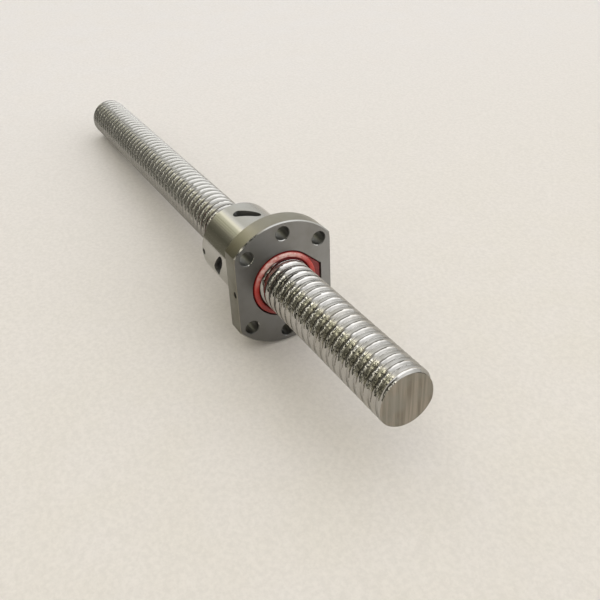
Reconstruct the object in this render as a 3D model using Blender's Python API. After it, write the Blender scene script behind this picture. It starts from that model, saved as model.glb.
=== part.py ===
"""Ball screw assembly: threaded screw shaft, flanged ball nut, wipers, return inserts and ball circuits.

Metres, +Z up. X runs along the screw's axis, with the nut's flange facing +X. The origin is on the axis at
the middle of the screw's length. The nut's pieces hang from an empty at the flange's front face, so their
own x is 0 there and negative towards the nut's rear end. The thread is right-handed: a groove moves
towards +X as its angle about +X grows. Angles start at +Y and pass through +Z.
"""

import math

import bmesh
import bpy
from mathutils import Vector

# Thread, shared by the screw, the nut and the front wiper.
LEAD = 0.005
BALL_CIRCLE_RADIUS = 0.01275
GROOVE_HALF_WIDTH = 0.00162
GROOVE_FLOOR_HALF_WIDTH = 0.00095
GROOVE_PHASE = math.radians(88.0)  # angle of the groove's middle wherever x is a whole number of leads

# Screw shaft.
SCREW_LENGTH = 0.370
SCREW_RADIUS = 0.01245
SCREW_GROOVE_RADIUS = 0.01120
SCREW_CHAMFER = 0.0003
SCREW_TURN_STEPS = 12

# Nut.
FLANGE_FACE_X = 0.090
NUT_LENGTH = 0.051
BODY_RADIUS = 0.020
BODY_CHAMFER = 0.0008
FLANGE_RADIUS = 0.031
FLANGE_THICKNESS = 0.010
FLANGE_ACROSS_FLATS = 0.048
FLANGE_CHAMFER = 0.0005
FLANGE_ARC_STEPS = 16
FLANGE_FLAT_STEPS = 10
BORE_RADIUS = 0.01290
NUT_GROOVE_RADIUS = 0.01434
BORE_TURN_STEPS = 16
BORE_WIDENING = 1.0 / math.cos(math.pi / BORE_TURN_STEPS)  # keeps a faceted bore's flats at its true radius
BOLT_CIRCLE_RADIUS = 0.0255
BOLT_HOLE_RADIUS = 0.0033
BOLT_HOLE_ANGLES = (45, 90, 135, 225, 270, 315)
BOLT_HOLE_SIDES = 16
OIL_HOLE_RADIUS = 0.0025
OIL_HOLE_DEPTH = 0.005
SMALL_HOLE_SIDES = 12
OVERSHOOT = 0.001  # how far a cutter runs past the surface that it opens

# Wipers, in a recess at each end of the nut.
RECESS_RADIUS = 0.0163
RECESS_DEPTH = 0.007
RECESS_STEPS = 32
WIPER_CLEARANCE = 0.0003
WIPER_PROUD = 0.0008
REAR_WIPER_SUNK = 0.0005
WIPER_BORE_RADIUS = 0.0130
WIPER_THREAD_CLEARANCE = 0.0004
WIPER_RIM_STEP = 0.0001  # keeps the cut round the front wiper's rim clear of its side
LUG_CORNER_Y = 0.0188
LUG_CORNER_Z = 0.0050
LUG_STEP = 0.0008  # the lug's face lies this far below the flange's

# Wiper set screws.
SET_SCREW_RADIUS = 0.0012
SET_SCREW_HOLE_RADIUS = 0.0015
SET_SCREW_SOCKET_RADIUS = 0.00075
SET_SCREW_SOCKET_DEPTH = 0.0012
HEXAGON = 6
FRONT_SET_SCREW_X = -0.0028
REAR_SET_SCREW_X = -0.0485
FRONT_SET_SCREW_LENGTH = 0.004
REAR_SET_SCREW_LENGTH = 0.0025

# Return inserts and ball circuits: each circuit is one turn that an insert leads back over the land.
CIRCUITS = 4
CIRCUIT_TURN = math.radians(90.0)
CIRCUIT_ADVANCE = LEAD + LEAD * CIRCUIT_TURN / math.tau
FIRST_CIRCUIT_ANGLE = math.radians(90.0)
FIRST_CIRCUIT_LEADS = -8  # whole leads from the flange's face to the first circuit
CROSSING_HALF_ANGLE = math.radians(17.0)
CROSSING_LIFT = 0.00144
SLOT_WIDTH = 0.0052
SLOT_LENGTH = 0.0136
SLOT_TILT = math.radians(38.0)
SLOT_BOTTOM = 0.0118
SLOT_END_STEPS = 6
INSERT_CLEARANCE = 0.0003
INSERT_BOTTOM = 0.0132
INSERT_TOP = 0.0176
CHANNEL_RADIUS = 0.0017
CHANNEL_START = 0.86  # shares of the circuit, counted from the crossing's far side
CHANNEL_END = 1.04
CHANNEL_STEPS = 12
CHANNEL_SIDES = 8
BALLS_PER_CIRCUIT = 25
BEAD_RADIUS = 0.0013
BEAD_NECK_RADIUS = 0.0005
BEAD_SIDES = 6
BEAD_EDGES = (0.3, 0.7)  # where a bead is full size, as shares of the way to the next ball

GROUND_STEEL = ((0.58, 0.57, 0.55, 1.0), 0.12, 1.0)
TURNED_STEEL = ((0.42, 0.42, 0.42, 1.0), 0.28, 1.0)
BALL_STEEL = ((0.70, 0.70, 0.70, 1.0), 0.08, 1.0)
RED_NYLON = ((0.55, 0.05, 0.03, 1.0), 0.40, 0.0)
BLACK_NYLON = ((0.02, 0.02, 0.02, 1.0), 0.50, 0.0)
BLACK_OXIDE = ((0.05, 0.05, 0.05, 1.0), 0.40, 1.0)


def polar(x, radius, angle):
    """A point at an angle about the X axis, measured from +Y towards +Z."""
    return Vector((x, radius * math.cos(angle), radius * math.sin(angle)))


def groove_x(angle):
    """The groove's middle along X, at an unwrapped angle."""
    return LEAD * (angle - GROOVE_PHASE) / math.tau


def material(name, look):
    colour, roughness, metallic = look
    mat = bpy.data.materials.new(name)
    mat.use_nodes = True
    shader = mat.node_tree.nodes["Principled BSDF"]
    shader.inputs["Base Color"].default_value = colour
    shader.inputs["Roughness"].default_value = roughness
    shader.inputs["Metallic"].default_value = metallic
    mat.diffuse_color = colour
    return mat


def finish_mesh(name, bm, sharp_degrees=30.0):
    """Closes a bmesh into a mesh with its faces pointing out, shaded smooth between sharp edges."""
    bmesh.ops.recalc_face_normals(bm, faces=bm.faces)
    mesh = bpy.data.meshes.new(name)
    bm.to_mesh(mesh)
    bm.free()
    mesh.shade_smooth()
    mesh.set_sharp_from_angle(angle=math.radians(sharp_degrees))
    return mesh


def add_object(name, mesh, mat=None, parent=None):
    obj = bpy.data.objects.new(name, mesh)
    bpy.context.scene.collection.objects.link(obj)
    obj.parent = parent
    if mat:
        mesh.materials.append(mat)
    return obj


def add_cutter(name, mesh, parent=None):
    cutter = add_object(name, mesh, parent=parent)
    cutter.hide_render = True
    cutter.display_type = "WIRE"
    return cutter


def cut(target, cutter):
    modifier = target.modifiers.new(cutter.name, "BOOLEAN")
    modifier.operation = "DIFFERENCE"
    modifier.solver = "EXACT"
    modifier.object = cutter


def loft(rings, closed=False):
    """Skins rings of equally many points; the ends are capped, or joined to each other when closed."""
    bm = bmesh.new()
    verts = [[bm.verts.new(point) for point in ring] for ring in rings]
    count = len(rings[0])
    spans = len(rings) if closed else len(rings) - 1
    for i in range(spans):
        near, far = verts[i], verts[(i + 1) % len(rings)]
        for j in range(count):
            k = (j + 1) % count
            bm.faces.new((near[j], near[k], far[k], far[j]))
    if not closed:
        bm.faces.new(list(reversed(verts[0])))
        bm.faces.new(verts[-1])
    return bm


def circle(x, radius, steps):
    return [polar(x, radius, math.tau * i / steps) for i in range(steps)]


def radial_frame(x, angle):
    """Centre and directions of a feature that points out from the axis: outwards, along +angle, along +X."""
    outwards = polar(0.0, 1.0, angle)
    around = polar(0.0, 1.0, angle + math.pi / 2)
    return Vector((x, 0.0, 0.0)), outwards, around


def radial_rod(x, angle, low, high, radius, steps):
    """A straight round rod along a radius of the nut, from one distance to another."""
    centre, outwards, around = radial_frame(x, angle)
    along = Vector((1.0, 0.0, 0.0))
    rings = []
    for height in (low, high):
        ring = []
        for i in range(steps):
            a = math.tau * i / steps
            ring.append(centre + outwards * height + (around * math.cos(a) + along * math.sin(a)) * radius)
        rings.append(ring)
    return loft(rings)


def thread_profile(edge_radius, floor_radius, grow=0.0):
    """One lead of the thread from a groove's middle: the floor's two edges, then the land's two edges."""
    edge = GROOVE_HALF_WIDTH - grow
    floor = GROOVE_FLOOR_HALF_WIDTH - grow
    return (
        (-floor, floor_radius),
        (floor, floor_radius),
        (edge, edge_radius),
        (LEAD - edge, edge_radius),
    )


def cap_open_end(bm, x):
    rim = [e for e in bm.edges if e.is_boundary and all(abs(v.co.x - x) < 1e-7 for v in e.verts)]
    bmesh.ops.contextual_create(bm, geom=rim)


def helical_solid(profile, x_low, x_high, steps, chamfer=0.0):
    """A solid threaded rod between two flat ends, each optionally chamfered."""
    first = math.floor(x_low / LEAD - 2.0) * steps
    last = math.ceil((x_high / LEAD + 2.0)) * steps
    bm = bmesh.new()
    rows = []
    for i in range(first, last + 1):
        angle = math.tau * i / steps
        rows.append([bm.verts.new(polar(groove_x(angle) + x, radius, angle)) for x, radius in profile])
    width = len(profile)
    for i in range(len(rows) - 1):
        for j in range(width):
            turn = 0 if j + 1 < width else steps  # the profile's last point meets the next turn's first
            k = (j + 1) % width
            if i + 1 + turn < len(rows):
                bm.faces.new((rows[i][j], rows[i + turn][k], rows[i + 1 + turn][k], rows[i + 1][j]))
    for x, side in ((x_low, -1.0), (x_high, 1.0)):
        if chamfer:
            whole = list(bm.verts) + list(bm.edges) + list(bm.faces)
            bmesh.ops.bisect_plane(bm, geom=whole, dist=1e-8, plane_co=(x - side * chamfer, 0, 0),
                                   plane_no=(side, 0, 0))
        whole = list(bm.verts) + list(bm.edges) + list(bm.faces)
        bmesh.ops.bisect_plane(bm, geom=whole, dist=1e-8, plane_co=(x, 0, 0), plane_no=(side, 0, 0),
                               clear_outer=True)
    land = max(radius for _, radius in profile)
    for vert in bm.verts:
        beyond = max(vert.co.x - (x_high - chamfer), (x_low + chamfer) - vert.co.x, 0.0)
        radius = math.hypot(vert.co.y, vert.co.z)
        if chamfer and radius > land - beyond:
            vert.co.y *= (land - beyond) / radius
            vert.co.z *= (land - beyond) / radius
    cap_open_end(bm, x_low)
    cap_open_end(bm, x_high)
    return bm


def flange_radius(angle, inset):
    flat = (FLANGE_ACROSS_FLATS / 2 - inset) / max(abs(math.cos(angle)), 1e-9)
    return min(FLANGE_RADIUS - inset, flat)


def flange_angles():
    """Angles round the nut that put a point on each corner of the two flats."""
    corner = math.acos(FLANGE_ACROSS_FLATS / 2 / FLANGE_RADIUS)
    spans = (
        (-corner, corner, FLANGE_FLAT_STEPS),
        (corner, math.pi - corner, FLANGE_ARC_STEPS),
        (math.pi - corner, math.pi + corner, FLANGE_FLAT_STEPS),
        (math.pi + corner, math.tau - corner, FLANGE_ARC_STEPS),
    )
    return [a + (b - a) * i / steps for a, b, steps in spans for i in range(steps)]


def nut_blank():
    """The nut's outside, solid: round body with a chamfered rear end, and the two-flat flange."""
    angles = flange_angles()

    def body_ring(x, radius):
        return [polar(x, radius, a) for a in angles]

    def flange_ring(x, inset):
        return [polar(x, flange_radius(a, inset), a) for a in angles]

    return loft([
        body_ring(-NUT_LENGTH, BODY_RADIUS - BODY_CHAMFER),
        body_ring(-NUT_LENGTH + BODY_CHAMFER, BODY_RADIUS),
        body_ring(-FLANGE_THICKNESS, BODY_RADIUS),
        flange_ring(-FLANGE_THICKNESS, FLANGE_CHAMFER),
        flange_ring(-FLANGE_THICKNESS + FLANGE_CHAMFER, 0.0),
        flange_ring(-FLANGE_CHAMFER, 0.0),
        flange_ring(0.0, FLANGE_CHAMFER),
    ])


def lug_outline(x, radius, corner_y, corner_z):
    """A round outline with straight tangents out to a square lug on the +Y side."""
    reach = math.hypot(corner_y, corner_z)
    tangent = math.atan2(corner_z, corner_y) + math.acos(radius / reach)
    arc = math.tau - 2 * tangent
    points = [polar(x, radius, tangent + arc * i / RECESS_STEPS) for i in range(RECESS_STEPS + 1)]
    return points + [Vector((x, corner_y, -corner_z)), Vector((x, corner_y, corner_z))]


def obround(height, width, length):
    """A slot-shaped outline across the local radius, tilted against the thread."""
    half = (length - width) / 2
    points = []
    for end in (0, 1):
        for i in range(SLOT_END_STEPS + 1):
            a = math.pi * (i / SLOT_END_STEPS - 0.5) + math.pi * end
            points.append((math.cos(a) * width / 2 + half * (1 - 2 * end), math.sin(a) * width / 2))
    cos, sin = math.cos(-SLOT_TILT), math.sin(-SLOT_TILT)
    return [Vector((u * sin + v * cos, height, u * cos - v * sin)) for u, v in points]


def circuit_point(share):
    """The balls' path in a circuit's own frame: a turn in the groove, then back over the land at angle 0."""
    turn = math.tau - 2 * CROSSING_HALF_ANGLE
    crossing = math.hypot(2 * CROSSING_HALF_ANGLE * BALL_CIRCLE_RADIUS, LEAD)
    along = share * (turn * BALL_CIRCLE_RADIUS + crossing)
    if along <= turn * BALL_CIRCLE_RADIUS:
        angle = CROSSING_HALF_ANGLE + along / BALL_CIRCLE_RADIUS
        return polar(LEAD * angle / math.tau - LEAD / 2, BALL_CIRCLE_RADIUS, angle)
    s = (along - turn * BALL_CIRCLE_RADIUS) / crossing
    angle = math.tau - CROSSING_HALF_ANGLE + 2 * CROSSING_HALF_ANGLE * s
    back = LEAD * s * s * (3 - 2 * s)
    lift = CROSSING_LIFT * math.sin(math.pi * s) ** 2
    return polar(LEAD * angle / math.tau - LEAD / 2 - back, BALL_CIRCLE_RADIUS + lift, angle)


def tube_along_circuit(shares, radii, sides, closed):
    rings = []
    for share, radius in zip(shares, radii):
        centre = circuit_point(share % 1.0)
        heading = (circuit_point((share + 0.001) % 1.0) - circuit_point((share - 0.001) % 1.0)).normalized()
        out = Vector((0.0, centre.y, centre.z)).normalized()
        side = heading.cross(out).normalized()
        out = side.cross(heading)
        turns = [math.tau * (i + 0.5) / sides for i in range(sides)]
        rings.append([centre + (out * math.cos(a) + side * math.sin(a)) * radius for a in turns])
    return loft(rings, closed)


def ball_train_mesh():
    """One circuit's balls as a closed chain of beads, joined by thin necks."""
    shares, radii = [], []
    for ball in range(BALLS_PER_CIRCUIT):
        for step in (0.0, *BEAD_EDGES):
            shares.append((ball + step) / BALLS_PER_CIRCUIT)
            radii.append(BEAD_RADIUS if step else BEAD_NECK_RADIUS)
    return finish_mesh("ball_train", tube_along_circuit(shares, radii, BEAD_SIDES, True), 60.0)


def channel_mesh():
    """The S-shaped way that an insert gives the balls over the screw's land."""
    step = (CHANNEL_END - CHANNEL_START) / CHANNEL_STEPS
    shares = [CHANNEL_START + step * i for i in range(CHANNEL_STEPS + 1)]
    radii = [CHANNEL_RADIUS] * len(shares)
    return finish_mesh("channel", tube_along_circuit(shares, radii, CHANNEL_SIDES, False))


def insert_mesh():
    width = SLOT_WIDTH - 2 * INSERT_CLEARANCE
    length = SLOT_LENGTH - 2 * INSERT_CLEARANCE
    rings = [obround(height, width, length) for height in (INSERT_BOTTOM, INSERT_TOP)]
    return finish_mesh("return_insert", loft(rings))


def place_on_circuit(obj, number):
    turn = FIRST_CIRCUIT_ANGLE + number * CIRCUIT_TURN
    first = groove_x(FIRST_CIRCUIT_ANGLE) + LEAD / 2 + FIRST_CIRCUIT_LEADS * LEAD
    obj.location.x = first + number * CIRCUIT_ADVANCE
    obj.rotation_euler.x = turn


def make_screw():
    half = SCREW_LENGTH / 2
    profile = thread_profile(SCREW_RADIUS, SCREW_GROOVE_RADIUS)
    bm = helical_solid(profile, -half, half, SCREW_TURN_STEPS, SCREW_CHAMFER)
    add_object("screw_shaft", finish_mesh("screw_shaft", bm), material("ground_steel", GROUND_STEEL))


def make_nut(nut):
    steel = material("turned_steel", TURNED_STEEL)
    body = add_object("nut_body", finish_mesh("nut_body", nut_blank()), steel, nut)

    profile = thread_profile(BORE_RADIUS * BORE_WIDENING, NUT_GROOVE_RADIUS * BORE_WIDENING)
    thread = helical_solid(profile, -NUT_LENGTH + RECESS_DEPTH / 2, -RECESS_DEPTH / 2, BORE_TURN_STEPS)
    cut(body, add_cutter("thread_cutter", finish_mesh("thread_cutter", thread), nut))

    ends = (-NUT_LENGTH - OVERSHOOT, -NUT_LENGTH + RECESS_DEPTH)
    rear = loft([circle(x, RECESS_RADIUS, RECESS_STEPS) for x in ends])
    cut(body, add_cutter("rear_recess", finish_mesh("rear_recess", rear), nut))
    ends = (-RECESS_DEPTH, OVERSHOOT)
    front = loft([lug_outline(x, RECESS_RADIUS, LUG_CORNER_Y, LUG_CORNER_Z) for x in ends])
    cut(body, add_cutter("front_recess", finish_mesh("front_recess", front), nut))

    ends = (-FLANGE_THICKNESS - OVERSHOOT, OVERSHOOT)
    for degrees in BOLT_HOLE_ANGLES:
        middle = polar(0.0, BOLT_CIRCLE_RADIUS, math.radians(degrees))
        rings = [[p + middle for p in circle(x, BOLT_HOLE_RADIUS, BOLT_HOLE_SIDES)] for x in ends]
        cut(body, add_cutter(f"bolt_hole_{degrees}", finish_mesh("bolt_hole", loft(rings)), nut))

    flat = FLANGE_ACROSS_FLATS / 2
    into_recess = RECESS_RADIUS - OVERSHOOT
    holes = (
        ("front_set_screw_hole", FRONT_SET_SCREW_X, math.pi, into_recess, flat, SET_SCREW_HOLE_RADIUS),
        ("rear_set_screw_hole", REAR_SET_SCREW_X, math.pi, into_recess, BODY_RADIUS, SET_SCREW_HOLE_RADIUS),
        ("oil_hole", -FLANGE_THICKNESS / 2, 0.0, flat - OIL_HOLE_DEPTH, flat, OIL_HOLE_RADIUS),
    )
    for name, x, angle, low, high, radius in holes:
        rod = radial_rod(x, angle, low, high + OVERSHOOT, radius, SMALL_HOLE_SIDES)
        cut(body, add_cutter(name, finish_mesh(name, rod), nut))

    rings = [obround(h, SLOT_WIDTH, SLOT_LENGTH) for h in (SLOT_BOTTOM, BODY_RADIUS + OVERSHOOT)]
    slot = finish_mesh("slot", loft(rings))
    for number in range(CIRCUITS):
        cutter = add_cutter(f"slot_{number + 1}", slot, nut)
        place_on_circuit(cutter, number)
        cut(body, cutter)


def turned_ring(low, high, inner, outer):
    """A plain ring about the X axis."""
    stations = ((low, outer), (high, outer), (high, inner), (low, inner))
    return loft([circle(x, radius, RECESS_STEPS) for x, radius in stations], closed=True)


def make_wipers(nut):
    red = material("red_nylon", RED_NYLON)
    outer = RECESS_RADIUS - WIPER_CLEARANCE
    inner_face = -RECESS_DEPTH + WIPER_CLEARANCE
    corner_y = LUG_CORNER_Y - WIPER_CLEARANCE
    corner_z = LUG_CORNER_Z - WIPER_CLEARANCE
    blank = loft([lug_outline(x, outer, corner_y, corner_z) for x in (inner_face, WIPER_PROUD)])
    front = add_object("front_wiper", finish_mesh("front_wiper", blank), red, nut)
    past_lug = math.hypot(LUG_CORNER_Y, LUG_CORNER_Z) + OVERSHOOT
    step = turned_ring(-LUG_STEP, WIPER_PROUD + OVERSHOOT, outer - WIPER_RIM_STEP, past_lug)
    cut(front, add_cutter("lug_step", finish_mesh("lug_step", step), nut))
    land = (SCREW_RADIUS + WIPER_THREAD_CLEARANCE) * BORE_WIDENING
    lip = (SCREW_GROOVE_RADIUS + WIPER_THREAD_CLEARANCE) * BORE_WIDENING
    profile = thread_profile(land, lip, WIPER_THREAD_CLEARANCE)
    thread = helical_solid(profile, inner_face - OVERSHOOT, WIPER_PROUD + OVERSHOOT, BORE_TURN_STEPS)
    cut(front, add_cutter("wiper_thread", finish_mesh("wiper_thread", thread), nut))

    low, high = -NUT_LENGTH + REAR_WIPER_SUNK, -NUT_LENGTH + RECESS_DEPTH - WIPER_CLEARANCE
    ring = turned_ring(low, high, WIPER_BORE_RADIUS, outer)
    add_object("rear_wiper", finish_mesh("rear_wiper", ring), red, nut)


def make_set_screws(nut):
    black = material("black_oxide", BLACK_OXIDE)
    foot = RECESS_RADIUS
    sizes = (
        ("front_wiper_screw", FRONT_SET_SCREW_X, FRONT_SET_SCREW_LENGTH),
        ("rear_wiper_screw", REAR_SET_SCREW_X, REAR_SET_SCREW_LENGTH),
    )
    for name, x, length in sizes:
        top = foot + length
        rod = radial_rod(x, math.pi, foot, top, SET_SCREW_RADIUS, SMALL_HOLE_SIDES)
        screw = add_object(name, finish_mesh(name, rod), black, nut)
        bottom = top - SET_SCREW_SOCKET_DEPTH
        socket = radial_rod(x, math.pi, bottom, top + OVERSHOOT, SET_SCREW_SOCKET_RADIUS, HEXAGON)
        cut(screw, add_cutter(f"{name}_socket", finish_mesh(f"{name}_socket", socket), nut))


def make_circuits(nut):
    black = material("black_nylon", BLACK_NYLON)
    chrome = material("ball_steel", BALL_STEEL)
    insert, channel, train = insert_mesh(), channel_mesh(), ball_train_mesh()
    insert.materials.append(black)
    train.materials.append(chrome)
    for number in range(CIRCUITS):
        piece = add_object(f"return_insert_{number + 1}", insert, parent=nut)
        cutter = add_cutter(f"channel_{number + 1}", channel, nut)
        balls = add_object(f"ball_train_{number + 1}", train, parent=nut)
        for obj in (piece, cutter, balls):
            place_on_circuit(obj, number)
        cut(piece, cutter)


def main():
    for obj in list(bpy.data.objects):
        bpy.data.objects.remove(obj, do_unlink=True)
    nut = bpy.data.objects.new("nut_pivot", None)
    bpy.context.scene.collection.objects.link(nut)
    nut.location.x = FLANGE_FACE_X
    make_screw()
    make_nut(nut)
    make_wipers(nut)
    make_set_screws(nut)
    make_circuits(nut)


main()
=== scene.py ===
"""Looks of the ball screw assembly: fine surfaces, steel and nylon finishes, pale table and studio light.

Metres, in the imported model's frame: X along the screw, Z up, origin on the axis at the screw's mid-length.
Angles go round the X axis from +Y through +Z.
"""

import math

import bmesh
import bpy
from mathutils import Matrix, Vector


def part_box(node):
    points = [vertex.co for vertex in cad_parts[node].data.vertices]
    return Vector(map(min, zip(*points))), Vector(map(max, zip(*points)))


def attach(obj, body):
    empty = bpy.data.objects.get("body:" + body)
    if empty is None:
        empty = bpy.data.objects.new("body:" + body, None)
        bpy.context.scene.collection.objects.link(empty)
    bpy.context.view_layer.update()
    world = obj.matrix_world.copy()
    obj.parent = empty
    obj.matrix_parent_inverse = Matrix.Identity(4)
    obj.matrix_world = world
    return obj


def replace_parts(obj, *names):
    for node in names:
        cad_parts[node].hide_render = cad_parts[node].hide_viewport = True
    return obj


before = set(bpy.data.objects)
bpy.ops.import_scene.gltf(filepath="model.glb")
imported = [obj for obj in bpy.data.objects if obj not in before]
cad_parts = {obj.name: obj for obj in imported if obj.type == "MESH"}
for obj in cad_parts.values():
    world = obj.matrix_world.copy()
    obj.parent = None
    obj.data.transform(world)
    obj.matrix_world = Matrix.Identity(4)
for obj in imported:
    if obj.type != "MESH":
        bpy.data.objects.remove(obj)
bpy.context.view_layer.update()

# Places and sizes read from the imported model.
SCREW_LOW, SCREW_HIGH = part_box("screw_shaft")
NUT_LOW, NUT_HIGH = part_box("nut_body")
SCREW_RADIUS = SCREW_HIGH.z
FLANGE_FACE_X = NUT_HIGH.x
FLANGE_RADIUS = NUT_HIGH.z
FLAT_DISTANCE = NUT_HIGH.y

# Thread.
LEAD = 0.005
BALL_RADIUS = 0.0015875
BALL_CIRCLE_RADIUS = 0.01275
GROOVE_PHASE = math.radians(88.0)
ARCH_RADIUS = 0.00165
ARCH_OFFSET = 0.00007
ARCH_STEPS = 7
EDGE_ROUND = 0.00010  # the rounding between a groove and the land beside it
SCREW_TURN_STEPS = 72
NUT_TURN_STEPS = 64
SCREW_CHAMFER = 0.00025

# Nut.
NUT_LENGTH = FLANGE_FACE_X - NUT_LOW.x
FLANGE_THICKNESS = 0.010
FLANGE_CHAMFER = 0.0005
FLAT_EDGE = 0.00012  # the flats are milled after turning, so their edges stay nearly sharp
BODY_RADIUS = 0.020
BODY_CHAMFER = 0.0008
BORE_RADIUS = 0.0129
BOLT_CIRCLE_RADIUS = 0.0255
BOLT_HOLE_RADIUS = 0.0033
BOLT_HOLE_CHAMFER = 0.0003
BOLT_HOLE_ANGLES = (45, 90, 135, 225, 270, 315)
BOLT_HOLE_STEPS = 48
RECESS_RADIUS = 0.0163
RECESS_DEPTH = 0.007
RECESS_CHAMFER = 0.0002
RECESS_STEPS = 128
LUG_Y = 0.0188
LUG_Z = 0.0050
LUG_STEP = 0.0008
OIL_HOLE_RADIUS = 0.0025
OIL_HOLE_DEPTH = 0.005
OIL_HOLE_GROOVES = 8  # rings that stand for its thread
OIL_HOLE_PITCH = 0.0005
OIL_HOLE_STEPS = 40
SMALL_HOLE_STEPS = 32
OVERSHOOT = 0.001  # how far a cutter runs past the surface that it opens

# Wipers.
WIPER_RADIUS = 0.0160
WIPER_PROUD = 0.0008
WIPER_THREAD_GAP = 0.00018
LUG_GAP = 0.00018
WIPER_EDGE = 0.0003
WIPER_SHOULDER = 0.0009
# The front wiper's mouth, as (depth below its face, radius), down to where the thread is cut.
WIPER_MOUTH = ((0.0, 0.01385), (0.00008, 0.01360), (0.0003, 0.01340), (0.0010, 0.01325),
               (0.0014, 0.01305), (0.0016, 0.01280), (0.0016, 0.01245))
WIPER_BORE_RADIUS = 0.0130  # the rear wiper's, clear of the thread

# Set screws.
SET_SCREW_HOLE_RADIUS = 0.0015
SET_SCREW_HOLE_CHAMFER = 0.00015
SET_SCREW_LEAD = 0.0005
SET_SCREW_RADIUS = 0.00142
SET_SCREW_CORE = 0.00115
SET_SCREW_SOCKET = 0.00075
SET_SCREW_SOCKET_DEPTH = 0.0012
HEXAGON = 6

# Ball circuits and return inserts.
CIRCUITS = 4
CIRCUIT_TURN = math.radians(90.0)
CIRCUIT_ADVANCE = LEAD + LEAD * CIRCUIT_TURN / math.tau
FIRST_CIRCUIT_ANGLE = math.radians(90.0)
FIRST_CIRCUIT_LEADS = -8
CROSSING_HALF_ANGLE = math.radians(17.0)
CROSSING_LIFT = 0.00144
BALLS_PER_CIRCUIT = 25
BALL_SLACK = 0.98  # keeps the meshed balls clear of each other and the grooves
SLOT_WIDTH = 0.0052
SLOT_LENGTH = 0.0136
SLOT_TILT = math.radians(38.0)
SLOT_BOTTOM = 0.0118
SLOT_TOP = 0.0198  # from here to SLOT_BEYOND the slot flares, which chamfers its edge
SLOT_BEYOND = 0.0212
SLOT_FLARE = 0.0014
INSERT_GAP = 0.0003
INSERT_BOTTOM = 0.0132
INSERT_TOP = 0.0178
CHANNEL_RADIUS = 0.00175
CHANNEL_START = 0.86  # the channel covers this share of the circuit onwards, for CHANNEL_SHARE of it
CHANNEL_SHARE = 0.18
CHANNEL_STEPS = 20

X_AXIS = Vector((1.0, 0.0, 0.0))


# ---------------------------------------------------------------- mesh helpers

def polar(x, radius, angle):
    return Vector((x, radius * math.cos(angle), radius * math.sin(angle)))


def groove_x(angle):
    """The groove's middle along X at an unwrapped angle, from any whole number of leads."""
    return LEAD * (angle - GROOVE_PHASE) / math.tau


def finished(name, bm, sharp=30.0):
    bmesh.ops.recalc_face_normals(bm, faces=bm.faces)
    mesh = bpy.data.meshes.new(name)
    bm.to_mesh(mesh)
    bm.free()
    mesh.shade_smooth()
    mesh.set_sharp_from_angle(angle=math.radians(sharp))
    return mesh


def placed(name, mesh):
    obj = bpy.data.objects.new(name, mesh)
    bpy.context.scene.collection.objects.link(obj)
    return obj


def loft(rings, closed=False):
    """Skins rings of equally many points; the ends are capped, or joined to each other when closed."""
    bm = bmesh.new()
    verts = [[bm.verts.new(p) for p in ring] for ring in rings]
    count = len(rings[0])
    for i in range(len(rings) if closed else len(rings) - 1):
        near, far = verts[i], verts[(i + 1) % len(rings)]
        for j in range(count):
            k = (j + 1) % count
            bm.faces.new((near[j], near[k], far[k], far[j]))
    if not closed:
        bm.faces.new(list(reversed(verts[0])))
        bm.faces.new(verts[-1])
    return bm


def circle(x, radius, steps, centre=Vector((0, 0, 0))):
    return [polar(x, radius, math.tau * i / steps) + centre for i in range(steps)]


def turned_rod(stations, steps, centre=Vector((0, 0, 0))):
    """A capped turned solid along X through (x, radius) stations."""
    return loft([circle(x, radius, steps, centre) for x, radius in stations])


def radial_rod(x, angle, stations, steps):
    """A turned solid along a radius through (height, radius) stations."""
    outwards, around = polar(0, 1, angle), polar(0, 1, angle + math.pi / 2)
    rings = []
    for height, radius in stations:
        turns = [math.tau * i / steps for i in range(steps)]
        rings.append([X_AXIS * (x + radius * math.sin(a)) + outwards * height
                      + around * (radius * math.cos(a)) for a in turns])
    return loft(rings)


def cut(obj, cutters):
    """Subtracts the cutters' meshes for good and frees them."""
    for cutter in cutters:
        modifier = obj.modifiers.new(cutter.name, "BOOLEAN")
        modifier.operation = "DIFFERENCE"
        modifier.solver = "EXACT"
        modifier.object = cutter
    graph = bpy.context.evaluated_depsgraph_get()
    mesh = bpy.data.meshes.new_from_object(obj.evaluated_get(graph))
    obj.modifiers.clear()
    obj.data = mesh
    for cutter in cutters:
        bpy.data.objects.remove(cutter, do_unlink=True)
    bm = bmesh.new()
    bm.from_mesh(mesh)
    bmesh.ops.dissolve_degenerate(bm, edges=bm.edges, dist=1e-6)
    bm.to_mesh(mesh)
    bm.free()
    mesh.shade_smooth()
    mesh.set_sharp_from_angle(angle=math.radians(30.0))


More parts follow.
